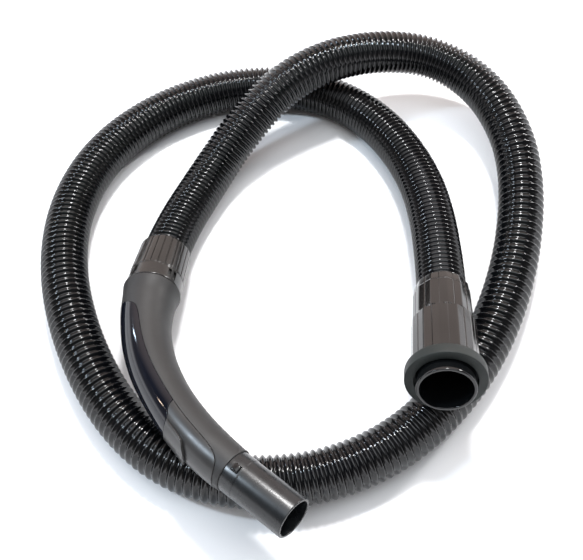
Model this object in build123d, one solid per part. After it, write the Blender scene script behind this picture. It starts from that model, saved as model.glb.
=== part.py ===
from build123d import *
import os
from math import cos, degrees, pi, radians, sin, tan

# Vacuum cleaner hose: a corrugated hose with a bent suction handle on one end and a
# swivelling machine connector on the other. Millimetres, +Z up, lying on the floor at Z = 0.

# ---- hose ----
HOSE_OD = 42.0
HOSE_BORE = 36.0
SOCKET_DEPTH = 28.0  # how far each end of the hose is screwed into its cuff
SOCKET_LEAD = (0.4, 3.0)  # flare of each cuff's mouth: how much wider, how deep
SLEEVE_WALL = 1.2
SLEEVE_GAP = 0.05
BEND_SHARE = 0.45  # share of a straight run that each of its two bends may use

# ---- handle placement: centre of the handle cuff's hose-side rim, and its axis ----
HANDLE_RIM = Vector(-117.3, 135.4, 24.8)
HANDLE_HEADING = -97.2
HANDLE_RISE = 11.0

# ---- connector placement: centre of the flange's front face, and its axis ----
FLANGE_FACE = Vector(114.0, -24.0, 77.0)
CONNECTOR_HEADING = -95.5
CONNECTOR_RISE = 14.0

# ---- handle cuff (distances from its hose-side rim) ----
CUFF_LENGTH = 50.3
CUFF_R_HOSE = 22.7
CUFF_R_HANDLE = 24.4
CUFF_STEP = 36.0  # end of the ribbed grip
CUFF_RIBS = 24
RIB_WIDTH = 4.4
RIB_HEIGHT = 0.5
RIB_SINK = 1.0
CUFF_CHAMBER_R = 22.4
CUFF_CHAMBER_START = 36.3
WINDOW_PAIRS = 4
WINDOW = (9.0, 3.0)  # along the axis, round the cuff
WINDOW_PITCH_DEG = 13.0
WINDOW_FIRST_DEG = 45.0
WINDOW_TO_RIM = 3.3
WINDOW_CUT = 8.0

# ---- handle swivel ----
NECK_START = 37.9
NECK_R = 20.0
COLLAR_R = 22.0
COLLAR = (40.5, 42.9)
COLLAR_ROOT = 1.0
SWIVEL_RING = (43.3, 47.3)
RING_TAB = (2.6, 1.6, 3.0)  # round the cuff, outward, along the axis
RING_TAB_SINK = 0.6
RING_TAB_FROM = 0.5
SEAL_GAP = (0.4, 0.2)  # from the neck's end, from the chamber's wall
RIM_GAP = 0.5

# ---- handle moulding: two arcs and a straight nozzle, all in one plane ----
BEND_1 = (175.2, 30.9)  # radius, angle
BEND_2 = (251.4, 25.0)
NOZZLE_RUN = 59.0
SHOULDER_TO_MOUTH = 58.0
AIRWAY_R = 15.0
NOZZLE_R = 16.2
NOZZLE_BORE_R = 14.2
NOZZLE_LAND = (11.5, 16.45)  # slightly larger length round the lock, past the shoulder: length, radius
NOZZLE_SEAT = 14.0  # length of nozzle pressed into the moulding
NOZZLE_SEAT_R = 15.9
NOZZLE_POCKET = (14.8, 26.0)  # wider bore at the rear for the lock's spring: radius, depth
# distance along the bent centreline, outer radius
HANDLE_SECTIONS = [
    (0, 25.4), (10, 23.6), (24, 22.4), (44, 20.9), (66, 20.1),
    (90, 19.3), (120, 18.5), (150, 18.3), (180, 18.1), (205.1, 17.3),
]
OVERCUT = 1.0  # how far a cut runs past the face that it opens

# ---- leaf on the convex side: grip cover, vent cover and bleed slider ----
# distance along the centreline, angle from the middle of the convex side
LEAF_EDGE = [
    (22.0, 0.0), (25.5, 42.9), (32.8, 71.4), (49.2, 77.8), (81.3, 80.7), (127.5, 82.5),
    (153.7, 80.5), (172.5, 78.5), (183.9, 75.3), (191.7, 68.6), (196.5, 57.0), (199.3, 36.0), (200.0, 0.0),
]
# where the grip cover ends and the vent cover starts
LEAF_SPLIT = [(136.0, 90.0), (137.6, 70.4), (144.2, 48.0), (146.9, 25.7), (148.0, 0.0)]
LEAF_GAP = 0.4
LEAF_REACH = 60.0  # how far the leaf's prism stands out, and half its height
LEAF_SKIN = (-0.7, 0.5)  # inner and outer face, measured from the handle's surface
SLIDER_SKIN = (0.8, 2.2)
SLIDER_MID = 162.2  # centreline distance of the slider's foot at rest
SLIDER_FOOT = (6.0, 5.2)
SLIDER_FOOT_TOP = 19.5
SLIDER_LIP = (6.0, 8.4)
LIP_HEIGHTS = (12.8, 14.0)
THUMB_PAD = (25.9, 34.0, 11.0)  # across, along, corner radius
THUMB_PAD_MID = 157.5
THUMB_PAD_REACH = (14.0, 26.0)
PORT = (22.5, 6.2)  # bleed port through both walls: along, across
PORT_MID = 162.25
PORT_HEIGHTS = (10.0, 26.0)
GASKET_BORDER = 2.6
GASKET_DEPTH = 0.8
GASKET_SINK = 0.05  # below the pocket's floor, so that the vent cover seats on the handle

# ---- wand lock ----
LOCK_FROM_SHOULDER = 7.0
LOCK_TURN = 15.6  # round the nozzle, from square with the bend toward its convex side
LOCK_SIDE = 6.0
LOCK_CLEARANCE = 0.3
LOCK_BASE_R = 12.4
LOCK_PROUD = 1.8
LOCK_FLANGE = (9.0, 1.0)
LOCK_HOLE_DEPTH = 8.0
SPRING_WIDTH = 5.0
SPRING_THICK = 0.4
SPRING_WALL_X = 14.58  # the spring's foot rests on the nozzle's inner wall at this height
SPRING_STATIONS = (3.5, -5.0, -9.0, -18.0)  # pad's tip, pad's end, foot's start, foot's end

# ---- machine connector (distances from the flange face, plus is outward) ----
SPIGOT_PROUD = 9.0
SPIGOT_R = 23.1
SPIGOT_SEAT_R = 22.7  # where the flange is bonded on
SPIGOT_BORE_R = 20.5
SPIGOT_REAR = -58.0
SPIGOT_REAR_R = 22.2
SPIGOT_LIP = 1.2
FLANGE_R = 31.8
FLANGE_DEPTH = 10.0
FLANGE_RECESS = (24.5, 5.0)  # radius, depth
FLANGE_SEAT = 0.4
FLANGE_EDGES = (1.5, 1.0)  # bevels of the rear and front edges
CONNECTOR_REAR = -102.5
MACHINE_CUFF_FRONT = -10.6
CHAMBER_R = 23.9
CHAMBER_REAR = -46.0
BEARING_REAR = -60.0
RUNNING_GAP = 0.06
MACHINE_COLLAR = (-42.0, -38.2)
MACHINE_COLLAR_R = 23.5
RETAINER = (-37.6, -35.6)
RETAINER_R = 24.5
RETAINER_SPLIT = (6.0, 5.0, 4.0)
O_RING_AT = -28.0
O_RING_R = 1.0
O_RING_GROOVE = (0.6, 1.2)  # depth, half width
O_RING_SEAT = 0.02
CUFF_THROAT_R = 18.4
# two tiers of twelve flats: from, to, radius across the corners
TIER_1 = (-93.0, -63.0, 25.0)
TIER_2 = (-59.0, MACHINE_CUFF_FRONT, 26.8)
TIER_FACETS = 12
TIER_CHAMFER = 0.6
TIER_CORE_INSET = 1.4  # the round core under the flats, inside the corners
REAR_R = 22.9

FREE = 0.3  # clearance between pieces that move past each other


def direction(heading, rise):
    """Unit vector for a compass heading from +X and a rise above the floor, in degrees."""
    h = radians(heading)
    r = radians(rise)
    return Vector(cos(h) * cos(r), sin(h) * cos(r), sin(r))


HANDLE_AXIS = direction(HANDLE_HEADING, HANDLE_RISE)
CONNECTOR_AXIS = direction(CONNECTOR_HEADING, CONNECTOR_RISE)
HANDLE_SIDE = Vector(0, 0, 1).cross(HANDLE_AXIS).normalized()
HANDLE_NORMAL = HANDLE_AXIS.cross(HANDLE_SIDE)
HOSE_EXIT = FLANGE_FACE + CONNECTOR_AXIS * CONNECTOR_REAR

cuff_frame = Plane(origin=HANDLE_RIM, x_dir=HANDLE_NORMAL, z_dir=HANDLE_AXIS)
bend_frame = Plane(origin=HANDLE_RIM, x_dir=HANDLE_AXIS, z_dir=HANDLE_NORMAL)
connector_frame = Plane(
    origin=FLANGE_FACE, x_dir=Vector(0, 0, 1).cross(CONNECTOR_AXIS).normalized(), z_dir=CONNECTOR_AXIS
)

RIM_AT = CUFF_LENGTH + RIM_GAP
ARC_1 = BEND_1[0] * radians(BEND_1[1])
ARC_2 = BEND_2[0] * radians(BEND_2[1])
CENTRELINE = ARC_1 + ARC_2 + NOZZLE_RUN
SHOULDER = CENTRELINE - SHOULDER_TO_MOUTH

# The way that the hose lies, by hand, from inside the handle cuff to inside the machine cuff.
HOSE_MIDDLE = [
    (-82, 231, 22), (-56, 270, 38), (-16, 311, 63), (30, 341, 70), (80, 360, 66), (127, 366, 58),
    (166, 352, 51), (194, 322, 45), (210, 281, 40), (216, 238, 35), (212, 184, 29), (196, 117, 24),
    (168, 50, 21.2), (130, -6, 21.2), (84, -49, 21.2), (33, -74, 21.2), (-19, -83, 21.2),
    (-70, -78, 21.2), (-116, -54, 21.2), (-157, -8, 21.2), (-191, 58, 21.2), (-211, 129, 21.2),
    (-211, 199, 21.2), (-188, 264, 21.2), (-143, 315, 21.2), (-87, 347, 21.2), (-32, 358, 21.2),
    (17, 351, 21.2), (59, 329, 21.2), (92, 293, 21.2), (115, 243, 24.5), (126, 184, 33.5),
]
ENTRY_RUNS = (22.5, 27.5)  # out from the handle cuff's and the machine cuff's rims to the hose's first bends


def hose_points():
    start = [HANDLE_RIM + HANDLE_AXIS * SOCKET_DEPTH, HANDLE_RIM - HANDLE_AXIS * ENTRY_RUNS[0]]
    end = [HOSE_EXIT - CONNECTOR_AXIS * ENTRY_RUNS[1], HOSE_EXIT + CONNECTOR_AXIS * SOCKET_DEPTH]
    return start + [Vector(*p) for p in HOSE_MIDDLE] + end


def bend_radii(points):
    """Each corner's arc: as large as its two straight runs allow."""
    radii = []
    for before, corner, after in zip(points, points[1:], points[2:]):
        run_in = corner - before
        run_out = after - corner
        turn = radians(run_in.get_angle(run_out))
        radii.append(BEND_SHARE * min(run_in.length, run_out.length) / tan(turn / 2))
    return radii


def ring(z0, z1, r_in, r_out):
    """Plain ring about the local Z axis."""
    outer = Pos(0, 0, z0) * Cylinder(r_out, z1 - z0, align=(Align.CENTER, Align.CENTER, Align.MIN))
    inner = Pos(0, 0, z0) * Cylinder(r_in, z1 - z0, align=(Align.CENTER, Align.CENTER, Align.MIN))
    return outer - inner


def turned(profile):
    """Solid of revolution about local Z from (radius, z) points."""
    face = Plane.XZ * make_face(Polyline(*[(r, z) for r, z in profile], close=True))
    return revolve(face, Axis.Z, 360)


# ---- hose ----
def make_hose():
    points = hose_points()
    radii = bend_radii(points)
    path = FilletPolyline(*points, radius=radii)
    start = Plane(origin=points[0], z_dir=points[1] - points[0])
    section = start * (Circle(HOSE_OD / 2) - Circle(HOSE_BORE / 2))
    hose = sweep(section, path=path)
    area = pi * (HOSE_OD**2 - HOSE_BORE**2) / 4
    print("hose bend radii, mm:", [round(r) for r in radii])
    print("hose length, mm:", round(path.length, 1))
    print("hose volume / (section x length):", round(hose.volume / (area * path.length), 5))
    return hose


def end_sleeve(depth):
    """Thin stiffening sleeve inside a hose end."""
    outer_r = HOSE_BORE / 2 - SLEEVE_GAP
    return ring(0, depth, outer_r - SLEEVE_WALL, outer_r)


# ---- handle cuff and swivel, about the cuff's axis ----
def cuff_rib(angle):
    bar = Box(
        RIB_WIDTH, RIB_HEIGHT + RIB_SINK, CUFF_STEP - RIB_SINK, align=(Align.CENTER, Align.MIN, Align.MIN)
    )
    lean = degrees((CUFF_R_HANDLE - CUFF_R_HOSE) / CUFF_LENGTH)
    return Rot(0, 0, angle) * Pos(0, CUFF_R_HOSE - RIB_SINK, 0) * Rot(-lean, 0, 0) * bar


def window_angles():
    """Angle round the cuff of each slot: evenly spaced pairs."""
    pairs = [WINDOW_FIRST_DEG + 360 * i / WINDOW_PAIRS for i in range(WINDOW_PAIRS)]
    return [middle + side * WINDOW_PITCH_DEG for middle in pairs for side in (-0.5, 0.5)]


def make_handle_cuff():
    socket_r = HOSE_OD / 2
    flare, lead = SOCKET_LEAD
    cuff = turned([
        (socket_r + flare, 0), (CUFF_R_HOSE, 0), (CUFF_R_HANDLE, CUFF_LENGTH), (CUFF_CHAMBER_R, CUFF_LENGTH),
        (CUFF_CHAMBER_R, CUFF_CHAMBER_START), (CUFF_THROAT_R, CUFF_CHAMBER_START),
        (CUFF_THROAT_R, SOCKET_DEPTH), (socket_r, SOCKET_DEPTH), (socket_r, lead),
    ])
    for i in range(CUFF_RIBS):
        cuff += cuff_rib(360 * i / CUFF_RIBS)
    length, width = WINDOW
    slot = Box(width, WINDOW_CUT, length, align=(Align.CENTER, Align.CENTER, Align.MIN))
    for angle in window_angles():
        cuff -= Rot(0, 0, angle) * Pos(0, CUFF_R_HANDLE, CUFF_LENGTH - WINDOW_TO_RIM - length) * slot
    return cuff_frame * cuff


def make_handle_thrust_washer():
    return cuff_frame * ring(CUFF_CHAMBER_START, NECK_START - FREE, CUFF_THROAT_R, NECK_R)


def make_handle_swivel_ring():
    """Snap ring that holds the handle's collar in the cuff, with a tab in each window."""
    body = ring(*SWIVEL_RING, NECK_R + RUNNING_GAP, CUFF_CHAMBER_R)
    tab = Box(*RING_TAB, align=(Align.CENTER, Align.MIN, Align.MIN))
    place = Pos(0, CUFF_CHAMBER_R - RING_TAB_SINK, SWIVEL_RING[0] + RING_TAB_FROM)
    for angle in window_angles():
        body += Rot(0, 0, angle) * place * tab
    return cuff_frame * body


def make_handle_swivel_seal():
    """Lip ring seated in the collar's face, just clear of the cuff's wall."""
    behind, around = SEAL_GAP
    return cuff_frame * ring(NECK_START + behind, COLLAR[0], NECK_R, COLLAR_R - around)


# ---- handle moulding ----
def centreline(s):
    """Point and heading of the bent centreline, s mm past the handle's rim."""
    r1, a1 = BEND_1
    r2, a2 = BEND_2
    h = min(max(s, 0) / r1, radians(a1))
    x = RIM_AT + min(s, 0) + r1 * sin(h)
    y = r1 * (1 - cos(h))
    if s > ARC_1:
        h2 = radians(a1) + min((s - ARC_1) / r2, radians(a2))
        x += r2 * (sin(h2) - sin(h))
        y += r2 * (cos(h) - cos(h2))
        h = h2
    if s > ARC_1 + ARC_2:
        x += (s - ARC_1 - ARC_2) * cos(h)
        y += (s - ARC_1 - ARC_2) * sin(h)
    return x, y, degrees(h)


def station(s):
    """Frame across the handle: Z along it, X up out of the bend's plane, Y to the convex side."""
    x, y, heading = centreline(s)
    place = bend_frame * Pos(x, y, 0) * Rot(0, 0, heading)
    return place * Plane(origin=(0, 0, 0), x_dir=(0, 0, 1), z_dir=(1, 0, 0)).location


def skin(offset):
    """The handle's outer form, grown or shrunk by offset."""
    return loft([station(s) * Circle(r + offset) for s, r in HANDLE_SECTIONS])


def bent_path(start, end):
    """Centreline in the bend's plane, from one distance to another."""
    r1, a1 = BEND_1
    r2, a2 = BEND_2
    lead = Line((RIM_AT + start, 0), (RIM_AT, 0))
    first = JernArc(start=lead @ 1, tangent=(1, 0), radius=r1, arc_size=a1)
    second = JernArc(start=first @ 1, tangent=first % 1, radius=r2, arc_size=a2)
    last = Line(second @ 1, second @ 1 + (second % 1) * (end - ARC_1 - ARC_2))
    return [lead, first, second, last]


def radius_at(s):
    """Handle's outer radius, straight between the sections."""
    for (s0, r0), (s1, r1) in zip(HANDLE_SECTIONS, HANDLE_SECTIONS[1:]):
        if s <= s1:
            return r0 + (r1 - r0) * (s - s0) / (s1 - s0)
    return HANDLE_SECTIONS[-1][1]


def convex_point(s, distance):
    """Point of the bend's plane, out from the centreline toward the convex side."""
    x, y, heading = centreline(s)
    return Vector(x + distance * sin(radians(heading)), y - distance * cos(radians(heading)))


def convex_prism(edge, gap, far):
    """Prism square to the bend's plane, from an edge of (distance along, angle) out to far corners."""
    points = [convex_point(s, radius_at(s) * cos(radians(angle)) - gap) for s, angle in edge]
    line = Spline(*points)
    corners = [line @ 1] + [convex_point(s, distance) for s, distance in far] + [line @ 0]
    outline = make_face([line] + [Line(p, q) for p, q in zip(corners, corners[1:])])
    return bend_frame * extrude(outline, amount=LEAF_REACH, both=True)


def leaf(gap=0.0):
    """Everything that stands out of the handle within the leaf's outline."""
    first, last = LEAF_EDGE[0], LEAF_EDGE[-1]
    edge = [(first[0] - gap, first[1])] + LEAF_EDGE[1:-1] + [(last[0] + gap, last[1])]
    return convex_prism(edge, gap, [(edge[-1][0], LEAF_REACH), (edge[0][0], LEAF_REACH)])


def past_split(gap):
    """Everything on the nozzle's side of the joint between the two covers."""
    edge = [(s + gap, angle) for s, angle in LEAF_SPLIT]
    far = [(edge[-1][0], LEAF_REACH), (CENTRELINE, LEAF_REACH), (CENTRELINE, 0)]
    return convex_prism(edge, 0.0, far)


def convex_block(s, along, across, low, high):
    """Box on the convex side at s, between two distances from the centreline."""
    block = Pos(0, (low + high) / 2, 0) * Box(across, high - low, along)
    return station(s) * block


def nozzle_frame():
    """Frame at the inner end of the nozzle: straight back from the shoulder."""
    return station(SHOULDER) * Pos(0, 0, -NOZZLE_SEAT)


def make_handle_body():
    body = skin(0)
    body += cuff_frame * Pos(0, 0, NECK_START) * Cylinder(
        NECK_R, RIM_AT - NECK_START, align=(Align.CENTER, Align.CENTER, Align.MIN)
    )
    body += cuff_frame * ring(*COLLAR, NECK_R - COLLAR_ROOT, COLLAR_R)
    path = bend_frame * Wire(bent_path(NECK_START - RIM_AT - OVERCUT, SHOULDER + OVERCUT))
    start = Plane(origin=path @ 0, z_dir=path % 0)
    body -= sweep(start * Circle(AIRWAY_R), path=path)
    body -= nozzle_frame() * Cylinder(
        NOZZLE_SEAT_R, NOZZLE_SEAT + OVERCUT, align=(Align.CENTER, Align.CENTER, Align.MIN)
    )
    body -= leaf(LEAF_GAP) - skin(LEAF_SKIN[0])
    body -= convex_block(PORT_MID, *PORT, *PORT_HEIGHTS)
    body -= gasket_recess()
    return body


def gasket_recess():
    """Shallow frame-shaped recess in the pocket's floor, round the bleed port."""
    length, width = PORT
    low, high = PORT_HEIGHTS
    outer = convex_block(PORT_MID, length + 2 * GASKET_BORDER, width + 2 * GASKET_BORDER, low, high)
    hole = convex_block(PORT_MID, length, width, low - OVERCUT, high + OVERCUT)
    return (outer - hole) & (skin(OVERCUT) - skin(LEAF_SKIN[0] - GASKET_DEPTH))


def make_bleed_gasket():
    return gasket_recess() & skin(LEAF_SKIN[0] - GASKET_SINK)


def leaf_shell():
    return (skin(LEAF_SKIN[1]) - skin(LEAF_SKIN[0])) & leaf()


def make_grip_cover():
    return leaf_shell() - past_split(0.0)


def make_vent_cover():
    return (leaf_shell() & past_split(LEAF_GAP)) - convex_block(PORT_MID, *PORT, *PORT_HEIGHTS)


def make_bleed_slider():
    """Thumb pad that runs on the vent cover, with a foot and a lip down through the port."""
    across, along, corner = THUMB_PAD
    low, high = THUMB_PAD_REACH
    outward = Plane(origin=(0, low, 0), x_dir=(1, 0, 0), z_dir=(0, 1, 0)).location
    plan = outward * RectangleRounded(across, along, corner)
    pad = (skin(SLIDER_SKIN[1]) - skin(SLIDER_SKIN[0])) & past_split(2 * LEAF_GAP)
    slider = pad & (station(THUMB_PAD_MID) * extrude(plan, amount=high - low))
    slider += convex_block(SLIDER_MID, *SLIDER_FOOT, LIP_HEIGHTS[0], SLIDER_FOOT_TOP)
    slider += convex_block(SLIDER_MID, *SLIDER_LIP, *LIP_HEIGHTS)
    return slider


def make_nozzle_tube():
    pocket_r, pocket_end = NOZZLE_POCKET
    tube = ring(0, NOZZLE_SEAT, NOZZLE_BORE_R, NOZZLE_SEAT_R)
    land, land_r = NOZZLE_LAND
    tube += ring(NOZZLE_SEAT, NOZZLE_SEAT + land, NOZZLE_BORE_R, land_r)
    tube += ring(NOZZLE_SEAT + land, NOZZLE_SEAT + SHOULDER_TO_MOUTH, NOZZLE_BORE_R, NOZZLE_R)
    tube -= Cylinder(pocket_r, pocket_end, align=(Align.CENTER, Align.CENTER, Align.MIN))
    hole = LOCK_SIDE + 2 * LOCK_CLEARANCE
    place = Pos(0, 0, NOZZLE_SEAT + LOCK_FROM_SHOULDER) * Rot(0, 0, LOCK_TURN) * Pos(NOZZLE_R, 0, 0)
    tube -= place * Box(LOCK_HOLE_DEPTH, hole, hole)
    return nozzle_frame() * tube


# ---- wand lock ----
def lock_frame():
    """Frame under the button: Z along the nozzle, X out through the button."""
    return station(SHOULDER) * Pos(0, 0, LOCK_FROM_SHOULDER) * Rot(0, 0, LOCK_TURN)


def make_lock_button():
    stem_height = NOZZLE_R + LOCK_PROUD - LOCK_BASE_R
    standing = (Align.MIN, Align.CENTER, Align.CENTER)
    side, thick = LOCK_FLANGE
    button = Box(stem_height, LOCK_SIDE, LOCK_SIDE, align=standing)
    button += Box(thick, side, side, align=standing)
    return lock_frame() * Pos(LOCK_BASE_R, 0, 0) * button


def make_lock_spring():
    """Leaf that lies on the nozzle's inner wall and dips under the button."""
    tip, pad_end, foot_start, foot_end = SPRING_STATIONS
    pad_x = LOCK_BASE_R
    wall_x = SPRING_WALL_X
    over = [(pad_x, tip), (pad_x, pad_end), (wall_x, foot_start), (wall_x, foot_end)]
    under = [(x - SPRING_THICK, z) for x, z in reversed(over)]
    profile = make_face(Polyline(*over, *under, close=True))
    leaf_spring = extrude(Plane.XZ * profile, amount=SPRING_WIDTH / 2, both=True)
    return lock_frame() * leaf_spring


# ---- machine connector, about its own axis ----
def faceted_tier(z0, z1, corner_r, turn_deg):
    prism = extrude(RegularPolygon(corner_r, TIER_FACETS), amount=z1 - z0)
    prism = chamfer(prism.edges().filter_by(Plane.XY), TIER_CHAMFER)
    return Pos(0, 0, z0) * Rot(0, 0, turn_deg) * prism


def machine_cuff_cavity():
    """Hose socket, throat, bearing, collar chamber and retainer groove, as one turned cut."""
    socket_end = CONNECTOR_REAR + SOCKET_DEPTH
    socket_r = HOSE_OD / 2
    flare, lead = SOCKET_LEAD
    bearing_r = SPIGOT_REAR_R + RUNNING_GAP
    return turned([
        (0, CONNECTOR_REAR), (socket_r + flare, CONNECTOR_REAR), (socket_r, CONNECTOR_REAR + lead),
        (socket_r, socket_end), (CUFF_THROAT_R, socket_end), (CUFF_THROAT_R, BEARING_REAR),
        (bearing_r, BEARING_REAR), (bearing_r, CHAMBER_REAR), (CHAMBER_R, CHAMBER_REAR),
        (CHAMBER_R, RETAINER[0]), (RETAINER_R, RETAINER[0]), (RETAINER_R, RETAINER[1]),
        (CHAMBER_R, RETAINER[1]), (CHAMBER_R, MACHINE_CUFF_FRONT), (0, MACHINE_CUFF_FRONT),
    ])


def make_machine_cuff():
    core_1 = TIER_1[2] - TIER_CORE_INSET
    core_2 = TIER_2[2] - TIER_CORE_INSET
    body = turned([
        (0, CONNECTOR_REAR), (REAR_R, CONNECTOR_REAR), (core_1, TIER_1[0]), (core_2, TIER_2[0]),
        (core_2, MACHINE_CUFF_FRONT), (0, MACHINE_CUFF_FRONT),
    ])
    body += faceted_tier(*TIER_1, 0)
    body += faceted_tier(*TIER_2, 180 / TIER_FACETS)
    return connector_frame * (body - machine_cuff_cavity())


def make_machine_thrust_washer():
    return connector_frame * ring(CHAMBER_REAR, MACHINE_COLLAR[0] - FREE, SPIGOT_REAR_R + FREE, CHAMBER_R)


def make_machine_retaining_ring():
    """Split snap ring in the cuff's groove, in front of the spigot's collar."""
    whole = ring(*RETAINER, SPIGOT_REAR_R + FREE, RETAINER_R)
    split = Pos(RETAINER_R, 0, sum(RETAINER) / 2) * Box(*RETAINER_SPLIT)
    return connector_frame * (whole - split)


def make_machine_spigot():
    depth, half_width = O_RING_GROOVE
    groove_r = SPIGOT_REAR_R - depth
    groove = (O_RING_AT - half_width, O_RING_AT + half_width)
    step = -FLANGE_DEPTH - FLANGE_SEAT
    lip = SPIGOT_LIP
    return connector_frame * turned([
        (SPIGOT_BORE_R, SPIGOT_REAR), (SPIGOT_REAR_R, SPIGOT_REAR), (SPIGOT_REAR_R, MACHINE_COLLAR[0]),
        (MACHINE_COLLAR_R, MACHINE_COLLAR[0]), (MACHINE_COLLAR_R, MACHINE_COLLAR[1]),
        (SPIGOT_REAR_R, MACHINE_COLLAR[1]), (SPIGOT_REAR_R, groove[0]), (groove_r, groove[0]),
        (groove_r, groove[1]), (SPIGOT_REAR_R, groove[1]), (SPIGOT_REAR_R, step),
        (SPIGOT_SEAT_R, step), (SPIGOT_SEAT_R, -FLANGE_RECESS[1]), (SPIGOT_R, -FLANGE_RECESS[1]),
        (SPIGOT_R, SPIGOT_PROUD - lip), (SPIGOT_R - lip / 2, SPIGOT_PROUD), (SPIGOT_BORE_R, SPIGOT_PROUD),
    ])


def make_spigot_o_ring():
    middle_r = SPIGOT_REAR_R - O_RING_GROOVE[0] + O_RING_R + O_RING_SEAT
    return connector_frame * Pos(0, 0, O_RING_AT) * Torus(middle_r, O_RING_R)


def make_connector_flange():
    recess_r, recess_depth = FLANGE_RECESS
    rear, front = FLANGE_EDGES
    return connector_frame * turned([
        (SPIGOT_SEAT_R, -FLANGE_DEPTH), (FLANGE_R - rear, -FLANGE_DEPTH), (FLANGE_R, -FLANGE_DEPTH + rear),
        (FLANGE_R, -front), (FLANGE_R - front, 0), (recess_r, 0), (recess_r, -recess_depth),
        (SPIGOT_SEAT_R, -recess_depth),
    ])


PIECES = {
    "hose": make_hose,
    "handle_end_sleeve": lambda: cuff_frame * end_sleeve(SOCKET_DEPTH),
    "handle_cuff": make_handle_cuff,
    "handle_thrust_washer": make_handle_thrust_washer,
    "handle_swivel_ring": make_handle_swivel_ring,
    "handle_swivel_seal": make_handle_swivel_seal,
    "handle_body": make_handle_body,
    "nozzle_tube": make_nozzle_tube,
    "grip_cover": make_grip_cover,
    "vent_cover": make_vent_cover,
    "bleed_slider": make_bleed_slider,
    "bleed_gasket": make_bleed_gasket,
    "lock_button": make_lock_button,
    "lock_spring": make_lock_spring,
    "machine_end_sleeve": lambda: connector_frame * Pos(0, 0, CONNECTOR_REAR) * end_sleeve(SOCKET_DEPTH),
    "machine_cuff": make_machine_cuff,
    "machine_thrust_washer": make_machine_thrust_washer,
    "machine_retaining_ring": make_machine_retaining_ring,
    "machine_spigot": make_machine_spigot,
    "spigot_o_ring": make_spigot_o_ring,
    "connector_flange": make_connector_flange,
}

os.makedirs("parts", exist_ok=True)
for name, make in PIECES.items():
    shape = make()
    export_step(shape, f"parts/{name}.step")
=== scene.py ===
import bpy
import bmesh
import math
import numpy as np
from mathutils import Matrix, Vector


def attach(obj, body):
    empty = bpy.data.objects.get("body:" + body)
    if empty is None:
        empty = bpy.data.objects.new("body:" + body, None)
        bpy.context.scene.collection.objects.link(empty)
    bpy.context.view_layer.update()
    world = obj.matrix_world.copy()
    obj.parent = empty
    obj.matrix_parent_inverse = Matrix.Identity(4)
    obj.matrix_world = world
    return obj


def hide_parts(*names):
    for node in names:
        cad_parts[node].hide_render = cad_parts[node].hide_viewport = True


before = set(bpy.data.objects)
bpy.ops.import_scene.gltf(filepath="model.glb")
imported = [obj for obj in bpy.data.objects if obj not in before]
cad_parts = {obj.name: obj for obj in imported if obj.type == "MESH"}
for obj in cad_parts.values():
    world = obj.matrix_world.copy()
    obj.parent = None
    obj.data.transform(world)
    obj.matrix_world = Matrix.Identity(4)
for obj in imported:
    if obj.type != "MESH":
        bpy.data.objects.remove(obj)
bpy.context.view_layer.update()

# ------------------------------------------------------------------ camera
CAM_TARGET = Vector((-0.003, 0.109, 0.021))
CAM_DISTANCE = 0.803
CAM_ELEVATION = math.radians(55.0)
FOCAL_PX = 900.0
IMAGE_W = 583

cam_data = bpy.data.cameras.new("camera")
cam_data.sensor_width = 36.0
cam_data.lens = 36.0 * FOCAL_PX / IMAGE_W
cam_data.clip_end = 20.0
camera = bpy.data.objects.new("camera", cam_data)
toward_camera = Vector((0.0, -math.cos(CAM_ELEVATION), math.sin(CAM_ELEVATION)))
camera.location = CAM_TARGET + CAM_DISTANCE * toward_camera
camera.rotation_euler = (math.radians(90.0) - CAM_ELEVATION, 0.0, 0.0)
bpy.context.collection.objects.link(camera)
bpy.context.scene.camera = camera


# ---------------------------------- placement in millimetres: axes of the handle's cuff and the connector
def direction(heading, rise):
    """Unit vector from a heading in the floor's plane and a rise above it, in degrees."""
    h, r = math.radians(heading), math.radians(rise)
    return Vector((math.cos(h) * math.cos(r), math.sin(h) * math.cos(r), math.sin(r)))


UP = Vector((0.0, 0.0, 1.0))
HANDLE_RIM = Vector((-117.3, 135.4, 24.8))
HANDLE_AXIS = direction(-97.2, 11.0)
HANDLE_SIDE = UP.cross(HANDLE_AXIS).normalized()
HANDLE_NORMAL = HANDLE_AXIS.cross(HANDLE_SIDE)
FLANGE_FACE = Vector((114.0, -24.0, 77.0))
CONNECTOR_AXIS = direction(-95.5, 14.0)
CONNECTOR_SIDE = UP.cross(CONNECTOR_AXIS).normalized()
CONNECTOR_REAR = -102.5  # the hose's side of the connector, behind the flange's face
HOSE_EXIT = FLANGE_FACE + CONNECTOR_REAR * CONNECTOR_AXIS


def frame_matrix(origin, x_axis, z_axis):
    y_axis = z_axis.cross(x_axis)
    m = Matrix((x_axis, y_axis, z_axis)).transposed().to_4x4()
    m.translation = origin
    return m


CUFF = frame_matrix(HANDLE_RIM, HANDLE_NORMAL, HANDLE_AXIS)
CONNECTOR = frame_matrix(FLANGE_FACE, CONNECTOR_SIDE, CONNECTOR_AXIS)


# ------------------------------------------------------------------ mesh helpers
# A shape is a pair: points in millimetres, and faces as tuples of point numbers.
def placed(matrix, shape):
    points, faces = shape
    m = np.array(matrix)
    return np.asarray(points, float) @ m[:3, :3].T + m[:3, 3], faces


def shade(mesh, sharp_deg):
    """Face outward and shade smooth, with edges over the angle left sharp."""
    bm = bmesh.new()
    bm.from_mesh(mesh)
    bmesh.ops.recalc_face_normals(bm, faces=bm.faces)
    limit = math.radians(sharp_deg)
    for edge in bm.edges:
        edge.smooth = not edge.is_manifold or edge.calc_face_angle(0.0) < limit
    for face in bm.faces:
        face.smooth = True
    bm.to_mesh(mesh)
    bm.free()


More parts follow.
